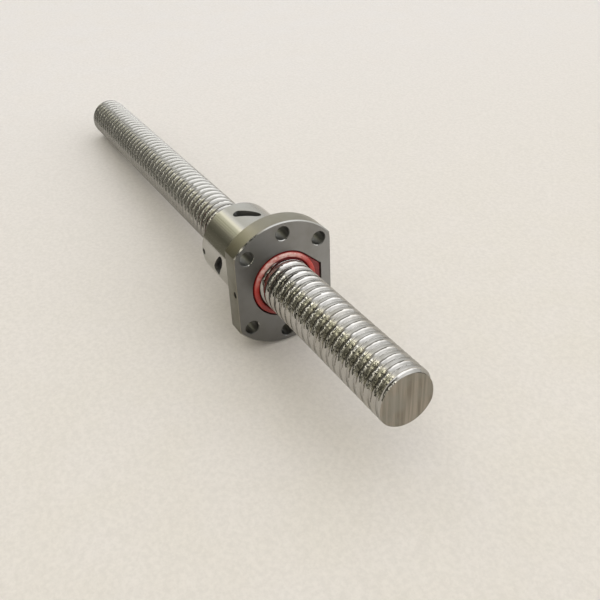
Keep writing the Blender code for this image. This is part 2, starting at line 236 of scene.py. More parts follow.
def thread_solid(profile, lead, x_low, x_high, steps, place, chamfer=0.0):
    """A threaded rod with chamfered ends.

    profile holds (offset, radius) over one lead, and place moves each finished point, or is None.
    """
    first = math.floor(x_low / lead - 2.0) * steps
    last = math.ceil(x_high / lead + 2.0) * steps
    width = len(profile)
    points = []
    for i in range(first, last + 1):
        angle = math.tau * i / steps
        points += [(lead * (angle - GROOVE_PHASE) / math.tau + x, radius, angle) for x, radius in profile]
    land = max(radius for _, radius in profile)
    rows = last - first + 1
    faces = []
    for i in range(rows - 1):
        for j in range(width):
            turn = 0 if j + 1 < width else steps
            if i + 1 + turn < rows:
                k = (j + 1) % width
                faces.append((i * width + j, (i + turn) * width + k,
                              (i + 1 + turn) * width + k, (i + 1) * width + j))
    mesh = bpy.data.meshes.new("thread")
    mesh.from_pydata([polar(*p) for p in points], [], faces)
    bm = bmesh.new()
    bm.from_mesh(mesh)
    bpy.data.meshes.remove(mesh)
    for x, side in ((x_low, -1.0), (x_high, 1.0)):
        for inset, clear in ((chamfer, False), (0.0, True)):
            near = [v for v in bm.verts if abs(v.co.x - x) < 2 * lead or side * (v.co.x - x) > 0]
            edges = {e for v in near for e in v.link_edges}
            surfaces = {f for v in near for f in v.link_faces}
            bmesh.ops.bisect_plane(
                bm, geom=near + list(edges) + list(surfaces), dist=1e-8,
                plane_co=(x - side * inset, 0, 0), plane_no=(side, 0, 0), clear_outer=clear,
            )
    for vert in bm.verts:
        beyond = max(vert.co.x - (x_high - chamfer), (x_low + chamfer) - vert.co.x, 0.0)
        radius = math.hypot(vert.co.y, vert.co.z)
        if beyond > 0.0 and radius > land - beyond:
            vert.co.y *= (land - beyond) / radius
            vert.co.z *= (land - beyond) / radius
    for x in (x_low, x_high):
        rim = [e for e in bm.edges if e.is_boundary and all(abs(v.co.x - x) < 1e-6 for v in e.verts)]
        bmesh.ops.contextual_create(bm, geom=rim)
    if place:
        for vert in bm.verts:
            vert.co = place(vert.co)
    return bm


def gothic_groove(edge_radius, side):
    """Half-groove points from the middle to the edge: side is -1 cutting into a shaft, +1 into a nut."""
    depth = abs(BALL_CIRCLE_RADIUS - edge_radius) - EDGE_ROUND * 0.6
    start = math.asin(ARCH_OFFSET / ARCH_RADIUS)
    end = math.acos(depth / ARCH_RADIUS)
    points = []
    for i in range(ARCH_STEPS + 1):
        t = start + (end - start) * i / ARCH_STEPS
        radius = BALL_CIRCLE_RADIUS + side * ARCH_RADIUS * math.cos(t)
        points.append((ARCH_RADIUS * math.sin(t) - ARCH_OFFSET, radius))
    x = points[-1][0]
    points.append((x + EDGE_ROUND * 0.35, edge_radius + side * EDGE_ROUND * 0.18))
    points.append((x + EDGE_ROUND, edge_radius))
    return points


def thread_profile(edge_radius, side, grow=0.0):
    """One lead from just past a groove's middle, over the land, to the next groove's middle."""
    half = [(max(x - grow, 0.0), r + grow) for x, r in gothic_groove(edge_radius, side)]
    half[0] = (0.0, half[0][1])
    far = [(LEAD - x, r) for x, r in reversed(half[1:])]
    middle = (LEAD / 2, half[-1][1])
    return half + [middle] + far


# ---------------------------------------------------------------- pieces

def make_screw():
    profile = thread_profile(SCREW_RADIUS, -1)
    bm = thread_solid(profile, LEAD, SCREW_LOW.x, SCREW_HIGH.x, SCREW_TURN_STEPS, None, SCREW_CHAMFER)
    return placed("screw", finished("screw", bm, 25.0))


def flange_radius(angle, inset):
    flat = (FLAT_DISTANCE - min(inset, FLAT_EDGE)) / max(abs(math.cos(angle)), 1e-9)
    return min(FLANGE_RADIUS - inset, flat)


def flange_angles(arc_steps=72, flat_steps=24):
    corner = math.acos(FLAT_DISTANCE / FLANGE_RADIUS)
    spans = (
        (-corner, corner, flat_steps),
        (corner, math.pi - corner, arc_steps),
        (math.pi - corner, math.pi + corner, flat_steps),
        (math.pi + corner, math.tau - corner, arc_steps),
    )
    return [a + (b - a) * i / steps for a, b, steps in spans for i in range(steps)]


def lug_radius(angle, radius, lug_y, lug_z, inset=0.0):
    """A circle with straight tangents out to a square lug on the +Y side, as a distance from the axis."""
    radius, lug_y, lug_z = radius - inset, lug_y - inset, lug_z - inset
    off = abs(math.remainder(angle, math.tau))
    corner = math.atan2(lug_z, lug_y)
    tangent = corner + math.acos(radius / math.hypot(lug_y, lug_z))
    if off > tangent:
        return radius
    return lug_y / math.cos(off) if off < corner else radius / math.cos(tangent - off)


def lug_angles(lug_y, lug_z, radius, steps=96):
    corner = math.atan2(lug_z, lug_y)
    tangent = corner + math.acos(radius / math.hypot(lug_y, lug_z))
    spans = ((-corner, corner, 12), (corner, tangent, 10), (tangent, math.tau - tangent, steps),
             (math.tau - tangent, math.tau - corner, 10))
    return [a + (b - a) * i / n for a, b, n in spans for i in range(n)]


def obround(height, width, length, steps=12, crown=None):
    """A tilted slot-shaped outline across the local radius, flat or following a round crown."""
    half = (length - width) / 2
    points = []
    for end in (0, 1):
        for i in range(steps + 1):
            a = math.pi * (i / steps - 0.5) + math.pi * end
            points.append((math.cos(a) * width / 2 + half * (1 - 2 * end), math.sin(a) * width / 2))
    cos, sin = math.cos(-SLOT_TILT), math.sin(-SLOT_TILT)
    turned = [(u * cos - v * sin, u * sin + v * cos) for u, v in points]
    if crown is None:
        return [Vector((v, height, u)) for u, v in turned]
    return [Vector((v, math.sqrt(crown * crown - u * u) + height - crown, u)) for u, v in turned]


def circuit_matrix(number):
    turn = FIRST_CIRCUIT_ANGLE + number * CIRCUIT_TURN
    first = groove_x(FIRST_CIRCUIT_ANGLE) + LEAD / 2 + FIRST_CIRCUIT_LEADS * LEAD
    place = Matrix.Translation((FLANGE_FACE_X + first + number * CIRCUIT_ADVANCE, 0, 0))
    return place @ Matrix.Rotation(turn, 4, "X")


def circuit_point(share):
    """The balls' path in a circuit's own frame: a turn in the groove, then back over the land at angle 0."""
    turn = math.tau - 2 * CROSSING_HALF_ANGLE
    crossing = math.hypot(2 * CROSSING_HALF_ANGLE * BALL_CIRCLE_RADIUS, LEAD)
    along = share * (turn * BALL_CIRCLE_RADIUS + crossing)
    if along <= turn * BALL_CIRCLE_RADIUS:
        angle = CROSSING_HALF_ANGLE + along / BALL_CIRCLE_RADIUS
        return polar(LEAD * angle / math.tau - LEAD / 2, BALL_CIRCLE_RADIUS, angle)
    s = (along - turn * BALL_CIRCLE_RADIUS) / crossing
    angle = math.tau - CROSSING_HALF_ANGLE + 2 * CROSSING_HALF_ANGLE * s
    back = LEAD * s * s * (3 - 2 * s)
    lift = CROSSING_LIFT * math.sin(math.pi * s) ** 2
    return polar(LEAD * angle / math.tau - LEAD / 2 - back, BALL_CIRCLE_RADIUS + lift, angle)


def nut_cutters():
    """Everything that is machined out of the nut, as solids."""
    back = FLANGE_FACE_X - FLANGE_THICKNESS
    rear = FLANGE_FACE_X - NUT_LENGTH
    profile = thread_profile(BORE_RADIUS, 1)
    ends = (rear + RECESS_DEPTH / 2, FLANGE_FACE_X - RECESS_DEPTH / 2)
    thread = thread_solid(profile, LEAD, *ends, NUT_TURN_STEPS, None)
    cutters = [placed("bore_thread", finished("bore_thread", thread))]

    recess = [(rear - OVERSHOOT, RECESS_RADIUS + RECESS_CHAMFER + OVERSHOOT),
              (rear + RECESS_CHAMFER, RECESS_RADIUS), (rear + RECESS_DEPTH, RECESS_RADIUS)]
    cutters.append(placed("rear_recess", finished("rear_recess", turned_rod(recess, RECESS_STEPS))))

    angles = lug_angles(LUG_Y, LUG_Z, RECESS_RADIUS)
    rings = [(FLANGE_FACE_X - RECESS_DEPTH, 0.0), (FLANGE_FACE_X - RECESS_CHAMFER, 0.0),
             (FLANGE_FACE_X + OVERSHOOT, -RECESS_CHAMFER - OVERSHOOT)]
    front = loft([[polar(x, lug_radius(a, RECESS_RADIUS, LUG_Y, LUG_Z, inset), a) for a in angles]
                  for x, inset in rings])
    cutters.append(placed("front_recess", finished("front_recess", front)))

    for degrees in BOLT_HOLE_ANGLES:
        r, c = BOLT_HOLE_RADIUS, BOLT_HOLE_CHAMFER
        stations = [(back - OVERSHOOT, r + c + OVERSHOOT), (back + c, r), (FLANGE_FACE_X - c, r),
                    (FLANGE_FACE_X + OVERSHOOT, r + c + OVERSHOOT)]
        centre = polar(0, BOLT_CIRCLE_RADIUS, math.radians(degrees))
        name = f"bolt_hole_{degrees}"
        cutters.append(placed(name, finished(name, turned_rod(stations, BOLT_HOLE_STEPS, centre))))

    for name, x, top in (("front_stud_hole", set_screw_x("front"), FLAT_DISTANCE),
                         ("rear_stud_hole", set_screw_x("rear"), BODY_RADIUS)):
        r, c = SET_SCREW_HOLE_RADIUS, SET_SCREW_HOLE_CHAMFER
        stations = [(RECESS_RADIUS - 0.002, r), (top - c, r), (top + OVERSHOOT, r + c + OVERSHOOT)]
        rod = radial_rod(x, math.pi, stations, SMALL_HOLE_STEPS)
        cutters.append(placed(name, finished(name, rod)))

    oil_x = FLANGE_FACE_X - FLANGE_THICKNESS / 2
    r = OIL_HOLE_RADIUS
    stations = [(FLAT_DISTANCE - OIL_HOLE_DEPTH - 0.001, r * 0.2), (FLAT_DISTANCE - OIL_HOLE_DEPTH, r)]
    for i in range(OIL_HOLE_GROOVES):
        low = FLAT_DISTANCE - OIL_HOLE_DEPTH + OIL_HOLE_PITCH + i * OIL_HOLE_PITCH
        stations += [(low, r), (low + OIL_HOLE_PITCH / 2, r * 1.12)]
    stations += [(FLAT_DISTANCE - 0.0003, r * 1.1), (FLAT_DISTANCE + OVERSHOOT, r * 1.1 + 0.0013)]
    oil = radial_rod(oil_x, 0.0, stations, OIL_HOLE_STEPS)
    cutters.append(placed("oil_hole", finished("oil_hole", oil)))

    for number in range(CIRCUITS):
        rings = [obround(SLOT_BOTTOM, SLOT_WIDTH, SLOT_LENGTH),
                 obround(SLOT_TOP, SLOT_WIDTH, SLOT_LENGTH, crown=SLOT_TOP),
                 obround(SLOT_BEYOND, SLOT_WIDTH + SLOT_FLARE, SLOT_LENGTH + SLOT_FLARE, crown=SLOT_BEYOND)]
        slot = finished(f"slot_{number + 1}", loft(rings))
        slot.transform(circuit_matrix(number))
        cutters.append(placed(f"slot_{number + 1}", slot))
    return cutters


def set_screw_x(which):
    low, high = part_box(f"{which}_wiper_screw")
    return (low.x + high.x) / 2


def make_nut():
    angles = flange_angles()
    rear = FLANGE_FACE_X - NUT_LENGTH
    back = FLANGE_FACE_X - FLANGE_THICKNESS

    def body(x, radius):
        return [polar(x, radius, a) for a in angles]

    def flange(x, inset):
        return [polar(x, flange_radius(a, inset), a) for a in angles]

    blank = loft([
        body(rear, BODY_RADIUS - BODY_CHAMFER), body(rear + BODY_CHAMFER, BODY_RADIUS),
        body(back, BODY_RADIUS), flange(back, FLANGE_CHAMFER), flange(back + FLANGE_CHAMFER, 0.0),
        flange(FLANGE_FACE_X - FLANGE_CHAMFER, 0.0), flange(FLANGE_FACE_X, FLANGE_CHAMFER),
    ])
    nut = placed("nut", finished("nut", blank))
    cut(nut, nut_cutters())
    return nut


def make_front_wiper():
    """A flat ring with a round shoulder and a thread that fits the screw, and a lower lug to one side."""
    back = FLANGE_FACE_X - RECESS_DEPTH + LUG_GAP
    face = FLANGE_FACE_X + WIPER_PROUD
    lug_face = FLANGE_FACE_X - LUG_STEP
    lug_y, lug_z = LUG_Y - LUG_GAP, LUG_Z - LUG_GAP
    angles = lug_angles(lug_y, lug_z, WIPER_RADIUS)

    def outline(x, inset):
        return [polar(x, lug_radius(a, WIPER_RADIUS, lug_y, lug_z, inset), a) for a in angles]

    def ring(x, radius):
        return [polar(x, radius, a) for a in angles]

    rings = [outline(back, WIPER_EDGE), outline(back + WIPER_EDGE, 0.0), outline(lug_face - 0.0002, 0.0),
             outline(lug_face, 0.0002), ring(lug_face, WIPER_RADIUS - 0.00025)]
    for i in range(6):
        t = math.radians(90.0) * i / 5
        radius = WIPER_RADIUS - WIPER_EDGE - WIPER_SHOULDER * (1 - math.cos(t))
        rings.append(ring(face - WIPER_SHOULDER * (1 - math.sin(t)), radius))
    for drop, radius in WIPER_MOUTH:
        rings.append(ring(face - drop, radius))
    wiper = placed("wiper_front", finished("wiper_front", loft(rings)))
    profile = thread_profile(SCREW_RADIUS, -1, WIPER_THREAD_GAP)
    thread = thread_solid(profile, LEAD, back - OVERSHOOT, face + OVERSHOOT, NUT_TURN_STEPS, None)
    cut(wiper, [placed("wiper_thread", finished("wiper_thread", thread))])
    return wiper


def make_rear_wiper():
    """A plain ring with a lip at its open end and a shallow groove inside."""
    low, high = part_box("rear_wiper")
    bore = WIPER_BORE_RADIUS
    stations = [(high.x, WIPER_RADIUS - WIPER_EDGE), (high.x - WIPER_EDGE, WIPER_RADIUS),
                (low.x + 0.0006, WIPER_RADIUS)]
    for i in range(1, 5):
        t = math.radians(90.0) * i / 4
        stations.append((low.x + 0.0006 - 0.0006 * math.sin(t), WIPER_RADIUS - 0.0006 + 0.0006 * math.cos(t)))
    stations += [(low.x, 0.0150), (low.x + 0.0001, 0.0147), (low.x + 0.0014, 0.0136), (low.x + 0.0019, bore),
                 (low.x + 0.0030, bore), (low.x + 0.0032, bore + 0.0003), (low.x + 0.0040, bore + 0.0003),
                 (low.x + 0.0042, bore), (high.x - 0.0002, bore), (high.x, bore + 0.0002)]
    ring = loft([circle(x, radius, RECESS_STEPS) for x, radius in stations], closed=True)
    return placed("wiper_rear", finished("wiper_rear", ring))


def make_set_screw(which):
    """A stud along -Y with a hexagon socket in its outer end."""
    low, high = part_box(f"{which}_wiper_screw")
    x, foot, top = (low.x + high.x) / 2, -high.y, -low.y
    profile = ((0.0, SET_SCREW_CORE), (SET_SCREW_LEAD * 0.12, SET_SCREW_CORE),
               (SET_SCREW_LEAD * 0.45, SET_SCREW_RADIUS), (SET_SCREW_LEAD * 0.60, SET_SCREW_RADIUS))

    def along_radius(point):
        return Vector((x + point.y, -point.x, point.z))

    bm = thread_solid(profile, SET_SCREW_LEAD, foot, top, 24, along_radius, 0.0002)
    stud = placed(f"{which}_set_screw", finished("set_screw", bm))
    stations = [(top - SET_SCREW_SOCKET_DEPTH, SET_SCREW_SOCKET), (top - 0.00012, SET_SCREW_SOCKET),
                (top + 0.0003, SET_SCREW_SOCKET + 0.00042)]
    socket = radial_rod(x, math.pi, stations, HEXAGON)
    cut(stud, [placed("socket", finished("socket", socket))])
    return stud


def make_insert(number):
    """A slot-shaped block with a dished top, and the channel that leads the balls back over the land."""
    width, length = SLOT_WIDTH - 2 * INSERT_GAP, SLOT_LENGTH - 2 * INSERT_GAP
    rings = [obround(INSERT_BOTTOM, width - 0.0004, length - 0.0004),
             obround(INSERT_BOTTOM + 0.0002, width, length)]
    for drop, inset in ((0.0006, 0.0), (0.0003, 0.00008), (0.0001, 0.0003), (0.0, 0.0006), (0.0, 0.0011),
                        (0.00025, 0.0013), (0.0003, 0.0018)):
        rings.append(obround(INSERT_TOP - drop, width - 2 * inset, length - 2 * inset, crown=INSERT_TOP))
    insert = placed(f"insert_{number + 1}", finished("insert", loft(rings)))
    steps = CHANNEL_STEPS
    path = [circuit_point((CHANNEL_START + CHANNEL_SHARE * i / steps) % 1.0) for i in range(steps + 1)]
    tube = []
    for i, centre in enumerate(path):
        heading = (path[min(i + 1, steps)] - path[max(i - 1, 0)]).normalized()
        out = Vector((0, centre.y, centre.z)).normalized()
        side = heading.cross(out).normalized()
        out = side.cross(heading)
        turns = [math.tau * k / steps for k in range(steps)]
        tube.append([centre + (out * math.cos(a) + side * math.sin(a)) * CHANNEL_RADIUS for a in turns])
    cut(insert, [placed("channel", finished("channel", loft(tube)))])
    insert.data.transform(circuit_matrix(number))
    return insert


def make_balls(number):
    """One circuit's balls, end to end round the turn and over the insert's crossing."""
    bm = bmesh.new()
    for ball in range(BALLS_PER_CIRCUIT):
        centre = circuit_matrix(number) @ circuit_point((ball + 0.5) / BALLS_PER_CIRCUIT)
        bmesh.ops.create_icosphere(bm, subdivisions=3, radius=BALL_RADIUS * BALL_SLACK,
                                   matrix=Matrix.Translation(centre))
    return placed(f"balls_{number + 1}", finished("balls", bm, 60.0))


# ---------------------------------------------------------------- node helpers

class Nodes:
    """Short spellings for building one node tree."""

    def __init__(self, tree):
        self.tree = tree
        self.tree.nodes.clear()

    def add(self, kind, **settings):
        node = self.tree.nodes.new(kind)
        for key, value in settings.items():
            setattr(node, key, value)
        return node

    def link(self, source, target):
        self.tree.links.new(source, target)

    def feed(self, socket, value):
        if isinstance(value, bpy.types.NodeSocket):
            self.link(value, socket)
        else:
            socket.default_value = value

    def math(self, operation, *values):
        node = self.add("ShaderNodeMath", operation=operation)
        for socket, value in zip(node.inputs, values):
            self.feed(socket, value)
        return node.outputs[0]

    def spread(self, value, low, high, to_low, to_high, smooth=True):
        node = self.add("ShaderNodeMapRange", interpolation_type="SMOOTHSTEP" if smooth else "LINEAR")
        for name, number in (("Value", value), ("From Min", low), ("From Max", high), ("To Min", to_low),
                             ("To Max", to_high)):
            self.feed(node.inputs[name], number)
        return node.outputs["Result"]

    def noise(self, vector, scale, detail=3.0, roughness=0.5):
        node = self.add("ShaderNodeTexNoise")
        self.feed(node.inputs["Vector"], vector)
        node.inputs["Scale"].default_value = scale
        node.inputs["Detail"].default_value = detail
        node.inputs["Roughness"].default_value = roughness
        return node.outputs["Fac"]

    def vector(self, x, y, z):
        node = self.add("ShaderNodeCombineXYZ")
        for socket, value in zip(node.inputs, (x, y, z)):
            self.feed(socket, value)
        return node.outputs[0]

    def mix(self, factor, a, b):
        node = self.add("ShaderNodeMix", data_type="RGBA")
        self.feed(node.inputs["Factor"], factor)
        for name, colour in (("A", a), ("B", b)):
            socket = [s for s in node.inputs if s.name == name and s.type == "RGBA"][0]
            self.feed(socket, (*colour, 1.0) if isinstance(colour, tuple) else colour)
        return [s for s in node.outputs if s.type == "RGBA"][0]

    def brighten(self, colour, factor):
        node = self.add("ShaderNodeVectorMath", operation="SCALE")
        self.link(colour, node.inputs[0])
        self.feed(node.inputs["Scale"], factor)
        return node.outputs["Vector"]

    def bump(self, height, strength, distance):
        node = self.add("ShaderNodeBump")
        node.inputs["Strength"].default_value = strength
        node.inputs["Distance"].default_value = distance
        self.link(height, node.inputs["Height"])
        return node.outputs["Normal"]


def new_material(name):
    material = bpy.data.materials.new(name)
    material.use_nodes = True
    nodes = Nodes(material.node_tree)
    output = nodes.add("ShaderNodeOutputMaterial")
    shader = nodes.add("ShaderNodeBsdfPrincipled")
    nodes.link(shader.outputs[0], output.inputs["Surface"])
    position = nodes.add("ShaderNodeTexCoord").outputs["Object"]
    split = nodes.add("ShaderNodeSeparateXYZ")
    nodes.link(position, split.inputs[0])
    return material, nodes, shader, position, split.outputs


def dress(nodes, shader, colour, roughness, normal=None, metallic=1.0):
    nodes.feed(shader.inputs["Base Color"], colour)
    nodes.feed(shader.inputs["Roughness"], roughness)
    shader.inputs["Metallic"].default_value = metallic
    if normal:
        nodes.link(normal, shader.inputs["Normal"])


def round_position(nodes, axes):
    """Distance from the X axis and the angle about it."""
    _, y, z = axes
    square = nodes.math("ADD", nodes.math("MULTIPLY", y, y), nodes.math("MULTIPLY", z, z))
    return nodes.math("SQRT", square), nodes.math("ARCTAN2", z, y)


def screw_steel():
    """Polished thread: lines along the groove, small dents, faint brown stain, greyer behind the nut."""
    material, nodes, shader, position, axes = new_material("screw_steel")
    _, angle = round_position(nodes, axes)
    along = nodes.math("SUBTRACT", axes[0], nodes.math("MULTIPLY", angle, LEAD / math.tau))
    across = nodes.math("MULTIPLY", angle, 0.12 * SCREW_RADIUS)
    lines = nodes.noise(nodes.vector(along, across, 0.0), 1250.0, 2.0, 0.6)
    around = nodes.math("MULTIPLY", angle, 0.4 * SCREW_RADIUS)
    cells = nodes.noise(nodes.vector(along, around, 0.5), 850.0, 0.0, 0.5)
    cells = nodes.math("MULTIPLY", cells, nodes.spread(axes[0], -0.04, 0.12, 0.08, 0.13))
    cloud = nodes.noise(position, 60.0, 4.0, 0.55)
    stain = nodes.spread(cloud, 0.45, 0.75, 0.0, 0.35)
    far = nodes.spread(axes[0], -0.06, 0.08, 1.0, 0.0)
    dull = nodes.math("MULTIPLY", far, 0.05)
    colour = nodes.mix(stain, (0.46, 0.45, 0.43), (0.38, 0.35, 0.29))
    colour = nodes.mix(nodes.math("MULTIPLY", far, 0.8), colour, (0.395, 0.39, 0.365))
    polish = nodes.spread(cloud, 0.3, 0.7, 0.015, 0.045)
    rough = nodes.math("ADD", polish, nodes.math("MULTIPLY", lines, 0.015))
    height = nodes.math("ADD", nodes.math("MULTIPLY", lines, 0.75), cells)
    dress(nodes, shader, colour, nodes.math("ADD", rough, dull), nodes.bump(height, 1.0, 0.00025))
    nodes.feed(shader.inputs["Specular Tint"], nodes.mix(far, (0.55, 0.55, 0.54), (0.35, 0.35, 0.35)))
    nodes.feed(shader.inputs["Metallic"], nodes.spread(axes[0], -0.06, 0.08, 0.78, 1.0))
    return material


def sawn_end():
    """The screw's cut ends: upright grinding streaks, warm and cold bands, a dark lower edge."""
    material, nodes, shader, position, axes = new_material("sawn_end")
    wide = nodes.noise(nodes.vector(axes[1], nodes.math("MULTIPLY", axes[2], 0.04), 0.0), 420.0, 3.0, 0.6)
    fine = nodes.noise(nodes.vector(axes[1], nodes.math("MULTIPLY", axes[2], 0.03), 3.0), 3200.0, 4.0, 0.7)
    blotch = nodes.noise(position, 110.0, 3.0, 0.6)
    radius, angle = round_position(nodes, axes)
    warm = nodes.mix(nodes.spread(wide, 0.40, 0.60, 0.0, 1.0), (0.225, 0.20, 0.16), (0.35, 0.312, 0.262))
    colour = nodes.mix(nodes.spread(blotch, 0.35, 0.7, 0.0, 0.6), warm, (0.28, 0.275, 0.24))
    low = nodes.math("COSINE", nodes.math("ADD", angle, math.radians(30)))
    edge = nodes.spread(radius, 0.0120, 0.0123, 0.0, 1.0)
    edge = nodes.math("MULTIPLY", edge, nodes.spread(low, 0.5, 0.9, 0.0, 0.85))
    colour = nodes.mix(edge, colour, (0.03, 0.028, 0.02))
    rough = nodes.spread(fine, 0.3, 0.7, 0.34, 0.55)
    height = nodes.math("ADD", nodes.math("MULTIPLY", fine, 0.6), wide)
    dress(nodes, shader, colour, rough, nodes.bump(height, 0.35, 0.00006))
    return material


def ground_nut():
    """The nut's round surfaces: fine grinding lines round the axis."""
    material, nodes, shader, position, axes = new_material("nut_ground")
    lines = nodes.noise(nodes.vector(axes[0], 0.0, 0.0), 5200.0, 3.0, 0.7)
    cloud = nodes.noise(position, 70.0, 4.0, 0.55)
    colour = nodes.mix(nodes.spread(cloud, 0.4, 0.75, 0.0, 0.6), (0.51, 0.505, 0.485), (0.455, 0.44, 0.405))
    rough = nodes.math("ADD", nodes.spread(cloud, 0.3, 0.7, 0.07, 0.12), nodes.math("MULTIPLY", lines, 0.06))
    dress(nodes, shader, colour, rough, nodes.bump(lines, 0.15, 0.00002))
    shader.inputs["Specular Tint"].default_value = (0.8, 0.8, 0.78, 1.0)
    return material


def turned_rim(name, light, dark):
    """The flange's rim or its flats: duller, faintly brown."""
    material, nodes, shader, position, axes = new_material(name)
    lines = nodes.noise(nodes.vector(axes[0], 0.0, 0.0), 3600.0, 3.0, 0.7)
    cloud = nodes.noise(position, 90.0, 4.0, 0.6)
    colour = nodes.mix(nodes.spread(cloud, 0.35, 0.7, 0.0, 1.0), light, dark)
    rough = nodes.math("ADD", nodes.spread(cloud, 0.3, 0.7, 0.26, 0.34), nodes.math("MULTIPLY", lines, 0.08))
    dress(nodes, shader, colour, rough, nodes.bump(lines, 0.2, 0.00003))
    shader.inputs["Specular Tint"].default_value = (0.85, 0.85, 0.83, 1.0)
    return material


def flange_face():
    """Satin faces: concentric turning lines, which also stretch the highlights, a fine mottle, and painted
    shade towards the lower left.
    """
    material, nodes, shader, position, axes = new_material("nut_face")
    radius, _ = round_position(nodes, axes)
    rings = nodes.noise(nodes.vector(radius, 0.0, 0.0), 4200.0, 3.0, 0.7)
    grain = nodes.noise(position, 2400.0, 2.0, 0.6)
    cloud = nodes.noise(position, 80.0, 4.0, 0.6)
    colour = nodes.mix(nodes.spread(cloud, 0.35, 0.7, 0.0, 1.0), (0.275, 0.275, 0.27), (0.24, 0.235, 0.225))
    rough = nodes.math("ADD", nodes.spread(cloud, 0.3, 0.7, 0.26, 0.32), nodes.math("MULTIPLY", grain, 0.06))
    # Painted shade: the face is darkened towards its lower left, standing in for the dark things it reflects
    # there.
    low = nodes.math("ADD", nodes.math("MULTIPLY", axes[1], 0.75), nodes.math("MULTIPLY", axes[2], 0.66))
    colour = nodes.mix(nodes.spread(low, -0.030, 0.004, 0.42, 0.0), colour, (0.10, 0.10, 0.09))
    height = nodes.math("ADD", nodes.math("MULTIPLY", rings, 0.5), nodes.math("MULTIPLY", grain, 0.5))
    dress(nodes, shader, colour, rough, nodes.bump(height, 0.22, 0.00004))
    tangent = nodes.add("ShaderNodeTangent", direction_type="RADIAL", axis="X")
    nodes.link(tangent.outputs[0], shader.inputs["Tangent"])
    shader.inputs["Anisotropic"].default_value = 0.6
    return material


def bored_steel():
    """Inside the nut: darker and oily; the dark colour is partly painted shade for the bore, holes and
    recesses.
    """
    material, nodes, shader, position, _ = new_material("nut_bore")
    cloud = nodes.noise(position, 120.0, 4.0, 0.6)
    colour = nodes.mix(cloud, (0.12, 0.12, 0.115), (0.17, 0.168, 0.155))
    rough = nodes.spread(cloud, 0.3, 0.7, 0.36, 0.46)
    dress(nodes, shader, colour, rough, nodes.bump(cloud, 0.1, 0.0001), 0.85)
    return material


def red_nylon():
    """Moulded wiper plastic with a fine grain: a pale painted highlight on top of the front face, painted
    shade on its lower side and behind the flange's face.
    """
    material, nodes, shader, position, axes = new_material("wiper_nylon")
    radius, angle = round_position(nodes, axes)
    grain = nodes.noise(position, 1800.0, 3.0, 0.6)
    cloud = nodes.noise(position, 140.0, 3.0, 0.5)
    colour = nodes.mix(nodes.spread(cloud, 0.35, 0.7, 0.0, 1.0), (0.50, 0.032, 0.022), (0.38, 0.022, 0.018))
    # Painted highlight: pale pink in patches on the front face's band, strongest at the top and fading round
    # the sides.
    top = nodes.math("COSINE", nodes.math("SUBTRACT", angle, math.radians(105)))
    highlight_patches = nodes.spread(nodes.noise(position, 420.0, 4.0, 0.65), 0.35, 0.6, 0.35, 1.0)
    painted_highlight = nodes.math("MULTIPLY", nodes.spread(top, 0.3, 1.0, 0.04, 1.0), highlight_patches)
    painted_highlight = nodes.math("MULTIPLY", painted_highlight, nodes.spread(radius, 0.0134, 0.0140, 0.0, 1.0))
    proud = nodes.spread(axes[0], FLANGE_FACE_X, FLANGE_FACE_X + 0.0004, 0.0, 1.0)
    painted_highlight = nodes.math("MULTIPLY", painted_highlight, proud)
    colour = nodes.mix(painted_highlight, colour, (0.74, 0.50, 0.44))
    # Painted shade: the lower side of each wiper is darker.
    colour = nodes.mix(nodes.spread(top, -0.9, 0.15, 0.6, 0.0), colour, (0.13, 0.018, 0.014))
    # Painted shade: everything behind the flange's face is darker, the sunk lug and the whole rear wiper with
    # it.
    painted_shade_behind_face = nodes.spread(axes[0], FLANGE_FACE_X - 0.0006, FLANGE_FACE_X - 0.0001, 0.75, 0.0)
    colour = nodes.mix(painted_shade_behind_face, colour, (0.12, 0.012, 0.014))
    rough = nodes.spread(grain, 0.3, 0.7, 0.30, 0.45)
    dress(nodes, shader, colour, rough, nodes.bump(grain, 0.12, 0.00008), 0.0)
    shader.inputs["Subsurface Weight"].default_value = 0.10
    shader.inputs["Subsurface Radius"].default_value = (0.002, 0.0005, 0.0004)
    shader.inputs["Coat Weight"].default_value = 0.2
    shader.inputs["Coat Roughness"].default_value = 0.25
    return material


def plain_finish(name, dark, light, scale, rough_low, rough_high, metallic, bump):
    """An even material with one fine grain."""
    material, nodes, shader, position, _ = new_material(name)
    grain = nodes.noise(position, scale, 4.0, 0.6)
    colour = nodes.mix(grain, dark, light)
    dress(nodes, shader, colour, nodes.spread(grain, 0.3, 0.7, rough_low, rough_high),
          nodes.bump(grain, bump, 0.00005), metallic)
    return material


def paint(obj, materials, choose):
    """Gives each face the material that choose(centre, normal) names."""
    obj.data.materials.clear()
    for material in materials:
        obj.data.materials.append(material)
    for polygon in obj.data.polygons:
        polygon.material_index = choose(polygon.center, polygon.normal)


# ---------------------------------------------------------------- stage

FLOOR_TILT = math.atan2(FLANGE_RADIUS - SCREW_RADIUS, FLANGE_FACE_X - FLANGE_THICKNESS - SCREW_LOW.x)
# The table's left edge runs just outside the picture, at FLOOR_EDGE + FLOOR_EDGE_SLOPE * distance along it.
# Where it runs sets how much of the table the nut's dim side reflects.
FLOOR_EDGE = -0.1385
FLOOR_EDGE_SLOPE = -0.184
FLOOR_NEAR, FLOOR_FAR, FLOOR_RIGHT = 1.5, -3.0, 3.0
FLOOR_POINT = Vector((FLANGE_FACE_X - FLANGE_THICKNESS + FLANGE_CHAMFER, 0.0, -FLANGE_RADIUS))


